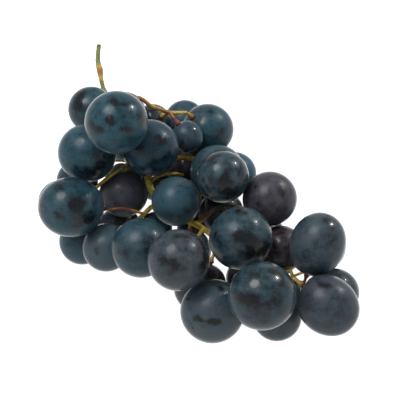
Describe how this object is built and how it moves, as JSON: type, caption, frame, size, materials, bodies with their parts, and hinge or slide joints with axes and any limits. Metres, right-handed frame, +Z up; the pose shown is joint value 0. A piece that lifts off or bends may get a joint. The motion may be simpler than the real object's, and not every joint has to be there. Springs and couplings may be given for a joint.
{
  "type": "bunch of grapes",
  "caption": "Bunch of dark blue table grapes lying on its side, each grape on its own thin stalk of one branching stem that ends in a cut peduncle.",
  "frame": {"origin": "middle of the underside of the whole bunch's box, on the table it lies on", "axes": "+Z up from the table; the side that shows in the picture faces -Y, with its cut peduncle at the far left, -X and +Y"},
  "size_m": [0.14, 0.1488, 0.0858],
  "materials": {
    "skin_bloomed": "blue-black grape skin under pale blue waxy bloom",
    "skin_dark": "blue-black grape skin with most of its bloom rubbed off",
    "skin_purple": "purple-brown grape skin with patches of bloom",
    "stalk": "yellow-green fresh stalk, reddish at the pedicels"
  },
  "bodies": {
    "root": {"grape_01": "skin_bloomed", "grape_02": "skin_bloomed", "grape_03": "skin_dark", "grape_04": "skin_dark", "grape_05": "skin_bloomed", "grape_06": "skin_bloomed", "grape_07": "skin_dark", "grape_08": "skin_dark", "grape_09": "skin_bloomed", "grape_10": "skin_bloomed", "grape_11": "skin_bloomed", "grape_12": "skin_dark", "grape_13": "skin_purple", "grape_14": "skin_dark", "grape_15": "skin_bloomed", "grape_16": "skin_bloomed", "grape_17": "skin_bloomed", "grape_18": "skin_bloomed", "grape_19": "skin_bloomed", "grape_20": "skin_bloomed", "grape_21": "skin_bloomed", "grape_22": "skin_bloomed", "grape_23": "skin_purple", "grape_24": "skin_bloomed", "grape_25": "skin_purple", "grape_26": "skin_bloomed", "grape_27": "skin_bloomed", "grape_28": "skin_purple", "grape_29": "skin_bloomed", "grape_30": "skin_bloomed", "grape_31": "skin_bloomed", "grape_32": "skin_bloomed", "grape_33": "skin_dark", "grape_34": "skin_purple", "grape_35": "skin_dark", "grape_36": "skin_bloomed", "grape_37": "skin_bloomed", "grape_38": "skin_purple", "grape_39": "skin_bloomed", "grape_40": "skin_dark", "grape_41": "skin_bloomed", "grape_42": "skin_bloomed", "grape_43": "skin_dark", "grape_44": "skin_dark", "grape_45": "skin_bloomed", "grape_46": "skin_purple", "grape_47": "skin_dark", "grape_48": "skin_dark", "grape_49": "skin_dark", "grape_50": "skin_purple", "grape_51": "skin_bloomed", "grape_52": "skin_bloomed", "grape_53": "skin_dark", "stalks": "stalk"}
  },
  "joints": []
}
